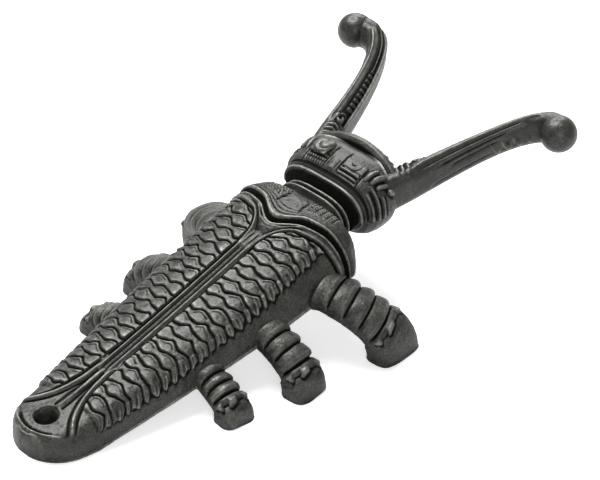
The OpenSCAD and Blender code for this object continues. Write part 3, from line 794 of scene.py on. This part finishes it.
def legPiece(name, pair, side):
    v = legs[pair]
    y = body["tailY"] + v["rootA"]
    x = float(caseHalf(np.array([v["rootA"]]))[0]) - 0.6 * body["wall"]
    footY = body["tailY"] + v["footA"]
    guides = np.array([
        [x - 1.0, y, v["hip"]],
        [mix(x, v["footX"], 0.7), mix(y, footY, 0.45), v["hip"] - 4],
        [v["footX"] + 1, footY, 0.38 * v["hip"]],
        [v["footX"], footY, -1.0],
    ])
    s, p, t, tangent = runAlong(guides, 170)
    around = 96
    psi = np.linspace(0, 2 * np.pi, around, endpoint=False)
    c, q = np.cos(psi), np.sin(psi)
    out = np.zeros((len(s), around, 3))
    block = s[-1] * 0.66         # where the smooth foot begins, under the claws
    pitch = (block - 2.0) / v["rings"]
    for k in range(len(s)):
        swing = math.atan2(tangent[k][1], tangent[k][0]) * (1 - t[k])
        flat = np.array([-math.sin(swing), math.cos(swing), 0.0])
        flat = flat - tangent[k] * np.dot(flat, tangent[k])
        flat = flat / np.linalg.norm(flat)
        outer = np.cross(tangent[k], flat)       # away from the floor at the root, away from the body at the foot
        outer = outer if (outer[2] + outer[0]) > 0 else -outer
        broad = mix(v["foot"] * 0.9, v["foot"], t[k]) / 2 - 0.5
        thick = v["thick"] / 2 - 0.5
        flare = ease((3.5 - s[k]) / 3.5)
        square = mix(2.2, 3.4, float(ease((s[k] - block) / 2)))
        r, place = boxyRing(psi, broad + 0.8 * flare, thick + 0.8 * flare, square)
        front = ease((q + 0.2) / 0.65)           # rings show on the outer and upper sides only
        phase = (s[k] + 0.35 * (q - 1) + 0.35 * c * math.sin(s[k] * 0.9 + v["hip"])) / pitch
        part = phase - np.floor(phase)
        crease = np.minimum(part, 1 - part) * pitch
        collar = 1.5 * np.sqrt(np.maximum(np.sin(np.pi * part ** 1.5), 0)) * (0.75 + 0.25 * q)
        collar = collar - 0.6 * bead(crease, 0.3) - 0.7
        ringed = ease((block - 0.5 - s[k]) / 1.0)
        r = r + front * ringed * collar
        # a row of claws over the foot
        over = s[k] - block
        claw = 1.1 * np.maximum(np.cos(psi * 7 + 0.4), 0) ** 0.5
        r = r + front * ((0.3 + claw) * bead(over + 0.2 - 0.5 * claw, 0.9) - 0.45 * bead(over + 1.7, 0.35))
        r = r - front * 0.45 * bead(over - 1.2 - claw, 0.4)
        r = r + 0.25 * ease((over - 2.5) / 1.5) + 0.1 * ripple(psi * 2, s[k] * 0.5, side + v["hip"])
        r = r + 0.07 * ripple(psi * 7, s[k] * 1.4, side + v["hip"])
        out[k] = ringRound(p[k], place, r, flat, outer)
    out[:, :, 0] *= side
    return closedTube(name, out)


legPieces = {}
for pair in legs:
    for label, side in (("left", -1), ("right", 1)):
        legPieces[f"{pair}_{label}_leg"] = legPiece(f"{pair}{label.capitalize()}RingedLeg", pair, side)
print("legs done")


def newGroup(name, inputs, outputs):
    group = bpy.data.node_groups.new(name, "ShaderNodeTree")
    for label, value in inputs.items():
        socket = group.interface.new_socket(name=label, in_out="INPUT", socket_type="NodeSocketFloat")
        socket.default_value = value
    for label in outputs:
        group.interface.new_socket(name=label, in_out="OUTPUT", socket_type="NodeSocketFloat")
    return group, group.nodes.new("NodeGroupInput"), group.nodes.new("NodeGroupOutput")


def addNode(tree, kind, **values):
    node = tree.nodes.new(kind)
    for key, value in values.items():
        setattr(node, key, value)
    return node


def feed(tree, value, socket):
    # a number or colour is set on the socket, and another node's output is linked to it
    if isinstance(value, (int, float)):
        socket.default_value = value
    elif isinstance(value, tuple):
        socket.default_value = (*value, 1)
    else:
        tree.links.new(value, socket)


def mathNode(tree, operation, *values):
    node = addNode(tree, "ShaderNodeMath", operation=operation)
    for value, socket in zip(values, node.inputs):
        feed(tree, value, socket)
    return node.outputs[0]


def ramp(tree, source, low, high, fromValue=0.0, toValue=1.0, kind="SMOOTHSTEP"):
    node = addNode(tree, "ShaderNodeMapRange", interpolation_type=kind)
    settings = {"Value": source, "From Min": low, "From Max": high, "To Min": fromValue, "To Max": toValue}
    for label, value in settings.items():
        feed(tree, value, node.inputs[label])
    return node.outputs["Result"]


def between(tree, source, fromValue, toValue):
    return ramp(tree, source, 0.0, 1.0, fromValue, toValue, "LINEAR")


def noiseNode(tree, place, scale, detail, roughness=0.5):
    node = addNode(tree, "ShaderNodeTexNoise")
    settings = {"Vector": place.outputs["Object"], "Scale": scale, "Detail": detail, "Roughness": roughness}
    for label, value in settings.items():
        feed(tree, value, node.inputs[label])
    return node.outputs["Fac"]


def mixColours(tree, factor, first, second, blend="MIX"):
    node = addNode(tree, "ShaderNodeMix", data_type="RGBA", blend_type=blend)
    for value, socket in ((factor, 0), (first, 6), (second, 7)):
        feed(tree, value, node.inputs[socket])
    return node.outputs[2]


def sandGrain():
    # the grain, lumps and small pits that the sand mould leaves under the paint
    tree, source, target = newGroup(
        "sandGrain", {"Grain size": 1500.0, "Pit size": 420.0, "Pits": 0.5}, ("Height", "Patches", "Specks"))
    place = addNode(tree, "ShaderNodeTexCoord")
    fine = noiseNode(tree, place, source.outputs["Grain size"], 5.0, 0.62)
    lumps = noiseNode(tree, place, 380.0, 2.0)
    broad = noiseNode(tree, place, 120.0, 5.0, 0.65)
    pits = addNode(tree, "ShaderNodeTexVoronoi")
    tree.links.new(place.outputs["Object"], pits.inputs["Vector"])
    tree.links.new(source.outputs["Pit size"], pits.inputs["Scale"])
    deep = mathNode(tree, "MULTIPLY", ramp(tree, pits.outputs["Distance"], 0.05, 0.32), source.outputs["Pits"])
    height = mathNode(tree, "ADD", fine, deep)
    height = mathNode(tree, "ADD", height, mathNode(tree, "MULTIPLY", lumps, 2.2))
    tree.links.new(height, target.inputs["Height"])
    tree.links.new(ramp(tree, broad, 0.35, 0.65), target.inputs["Patches"])
    tree.links.new(ramp(tree, fine, 0.42, 0.6), target.inputs["Specks"])
    return tree


def edgeWearAndShade():
    # paint worn thin on the raised edges, and painted shade in the grooves and recesses, by the depth noted on the
    # mesh
    tree, source, target = newGroup(
        "edgeWearAndShade", {"Edge": -0.4, "Groove": 0.03, "Break-up": 420.0}, ("Worn", "Dark"))
    depth = addNode(tree, "ShaderNodeAttribute", attribute_name="hollow").outputs["Fac"]
    place = addNode(tree, "ShaderNodeTexCoord")
    speckle = noiseNode(tree, place, source.outputs["Break-up"], 4.0, 0.65)
    edge, groove = source.outputs["Edge"], source.outputs["Groove"]
    worn = ramp(tree, depth, edge, mathNode(tree, "SUBTRACT", edge, 1.1), kind="LINEAR")
    worn = mathNode(tree, "MULTIPLY", worn, ramp(tree, speckle, 0.3, 0.62, 0.3, 1.0))
    # the painted shade: the deeper the hollow, the darker
    dark = ramp(tree, depth, groove, mathNode(tree, "ADD", groove, 0.4), kind="LINEAR")
    tree.links.new(worn, target.inputs["Worn"])
    tree.links.new(dark, target.inputs["Dark"])
    return tree


grainGroup = sandGrain()
wearAndShadeGroup = edgeWearAndShade()

ironLooks = {
    "scaledIron": {"slot": "case_iron", "paint": (0.058, 0.060, 0.050), "worn": (0.25, 0.257, 0.228),
                   "grain": 0.16, "rough": 0.43, "wornRough": 0.34, "grainSize": 1500.0, "pits": 0.4},
    "headIron": {"slot": "head_iron", "paint": (0.056, 0.058, 0.049), "worn": (0.23, 0.237, 0.21),
                 "grain": 0.14, "rough": 0.40, "wornRough": 0.32, "grainSize": 1600.0, "pits": 0.35},
    "hornIron": {"slot": "horn_iron", "paint": (0.050, 0.0515, 0.0435), "worn": (0.22, 0.225, 0.20),
                 "grain": 0.12, "rough": 0.36, "wornRough": 0.30, "grainSize": 1700.0, "pits": 0.3},
    "legIron": {"slot": "leg_iron", "paint": (0.056, 0.058, 0.049), "worn": (0.20, 0.205, 0.18),
                "grain": 0.2, "rough": 0.46, "wornRough": 0.36, "grainSize": 1300.0, "pits": 0.6},
}
# the near-black colour of the painted shade in grooves and recesses
grooveShadeColour = (0.013, 0.0135, 0.0115)


def plainTree(holder, kind):
    # an empty node tree with its output
    holder.use_nodes = True
    holder.node_tree.nodes.clear()
    return holder.node_tree, addNode(holder.node_tree, kind)


def ironMaterial(name, look):
    material = bpy.data.materials.new(name)
    tree, out = plainTree(material, "ShaderNodeOutputMaterial")
    iron = addNode(tree, "ShaderNodeBsdfPrincipled")
    tree.links.new(iron.outputs["BSDF"], out.inputs["Surface"])
    grain = addNode(tree, "ShaderNodeGroup", node_tree=grainGroup)
    grain.inputs["Grain size"].default_value = look["grainSize"]
    grain.inputs["Pits"].default_value = look["pits"]
    wearAndShade = addNode(tree, "ShaderNodeGroup", node_tree=wearAndShadeGroup)
    patches, dark, worn = grain.outputs["Patches"], wearAndShade.outputs["Dark"], wearAndShade.outputs["Worn"]
    # paint, a little uneven, with painted shade in the grooves and recesses and paler where it is worn
    thin, thick = [tuple(c * share for c in look["paint"]) for share in (0.68, 1.34)]
    paint = mixColours(tree, patches, thin, thick)
    paint = mixColours(tree, 0.55, paint, grain.outputs["Specks"], "MULTIPLY")
    paint = mixColours(tree, dark, paint, grooveShadeColour)
    paint = mixColours(tree, worn, paint, look["worn"])
    rough = mathNode(tree, "ADD", between(tree, worn, look["rough"], look["wornRough"]),
                     between(tree, patches, -0.04, 0.05))
    rough = mathNode(tree, "MULTIPLY_ADD", dark, 0.4, rough)   # the grooves painted in shade are rougher, so they don't shine
    bump = addNode(tree, "ShaderNodeBump")
    bump.inputs["Strength"].default_value = 1.0
    bump.inputs["Distance"].default_value = look["grain"] * mm
    tree.links.new(grain.outputs["Height"], bump.inputs["Height"])
    # metallic rises and the coat falls with the painted shade, so the darkened grooves lose their shine too
    settings = {"Base Color": paint, "Roughness": rough, "Metallic": between(tree, dark, 0.25, 0.85),
                "Coat Weight": between(tree, dark, 0.12, 0.0), "Coat Roughness": 0.28,
                "Normal": bump.outputs["Normal"]}
    for label, value in settings.items():
        feed(tree, value, iron.inputs[label])
    return material


irons = {name: ironMaterial(name, look) for name, look in ironLooks.items()}
print("materials done")


dressed = [
    (scaledCase, "wing_case", "scaledIron"), (spineRails, "spine_rib", "scaledIron"),
    (smoothShield, "shield", "scaledIron"), (ringedNeck, "neck", "headIron"),
    (ringHead, "head", "headIron"), (browLip, "brow", "headIron"),
    (leftEye, "left_eye", "headIron"), (rightEye, "right_eye", "headIron"),
    (leftHorn, "left_horn", "hornIron"), (rightHorn, "right_horn", "hornIron"),
] + [(piece, node, "legIron") for node, piece in legPieces.items()]
for piece, node, iron in dressed:
    piece.data.materials.clear()
    piece.data.materials.append(irons[iron])
    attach(piece, "root")
    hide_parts(node)


view = {"azimuth": 45.6, "elevation": 35.5, "distance": 0.918, "lens": 142.3,
        "aim": (0.0, 0.02548, 0.0), "right": 0.00205, "up": -0.0189}

floorMesh = bpy.data.meshes.new("paleFloor")
floorMesh.from_pydata([(-6, -6, 0), (6, -6, 0), (6, 6, 0), (-6, 6, 0)], [], [[0, 1, 2, 3]])
floor = newObject("paleFloor", floorMesh)
white = bpy.data.materials.new("whitePaper")
tree, out = plainTree(white, "ShaderNodeOutputMaterial")
paper = addNode(tree, "ShaderNodeBsdfDiffuse")
paper.inputs["Color"].default_value = (0.8, 0.8, 0.8, 1)
glow = addNode(tree, "ShaderNodeEmission")
glow.inputs["Color"].default_value = (1, 1, 1, 1)
path = addNode(tree, "ShaderNodeLightPath")
feed(tree, mathNode(tree, "MULTIPLY", path.outputs["Is Camera Ray"], 0.62), glow.inputs["Strength"])
both = addNode(tree, "ShaderNodeAddShader")
tree.links.new(paper.outputs[0], both.inputs[0])
tree.links.new(glow.outputs[0], both.inputs[1])
tree.links.new(both.outputs[0], out.inputs["Surface"])
floorMesh.materials.append(white)

scene = bpy.context.scene
scene.view_settings.view_transform = "Standard"
world = bpy.data.worlds.new("studio")
scene.world = world
tree, out = plainTree(world, "ShaderNodeOutputWorld")
plain = addNode(tree, "ShaderNodeBackground")
plain.inputs["Color"].default_value = (1, 1, 1, 1)
path = addNode(tree, "ShaderNodeLightPath")
ambient = 0.22   # the world's light on the object; the camera sees plain white
feed(tree, between(tree, path.outputs["Is Camera Ray"], ambient, 1.0), plain.inputs["Strength"])
tree.links.new(plain.outputs[0], out.inputs["Surface"])


def softBox(name, place, aim, size, power):
    lamp = bpy.data.lights.new(name, "AREA")
    lamp.shape = "RECTANGLE"
    lamp.size, lamp.size_y = size
    lamp.energy = power
    obj = newObject(name, lamp)
    obj.location = place
    obj.rotation_euler = (Vector(aim) - Vector(place)).to_track_quat("-Z", "Y").to_euler()


softBox("topBox", (-0.55, 0.1, 1.2), (0, 0, 0), (0.75, 0.75), 24.0)
softBox("sideBox", (1.1, -0.75, 0.75), (0, 0, 0.02), (0.7, 0.5), 5.5)
softBox("backBox", (-0.8, 1.1, 0.7), (0, 0, 0.03), (0.8, 0.5), 9.0)

phi, tilt = math.radians(view["azimuth"]), math.radians(view["elevation"])
right = Vector((math.cos(phi), math.sin(phi), 0))
up = Vector((-math.sin(tilt) * math.sin(phi), math.sin(tilt) * math.cos(phi), math.cos(tilt)))
look = Vector((-math.sin(phi) * math.cos(tilt), math.cos(phi) * math.cos(tilt), -math.sin(tilt)))
camera = newObject("camera", bpy.data.cameras.new("camera"))
place = Vector(view["aim"]) - look * view["distance"] - right * view["right"] - up * view["up"]
turn = Matrix((right, up, -look)).transposed().to_4x4()
camera.matrix_world = Matrix.Translation(place) @ turn
camera.data.sensor_width = 36
camera.data.lens = view["lens"]
camera.data.clip_start = 0.01
scene.camera = camera
print("stage done")
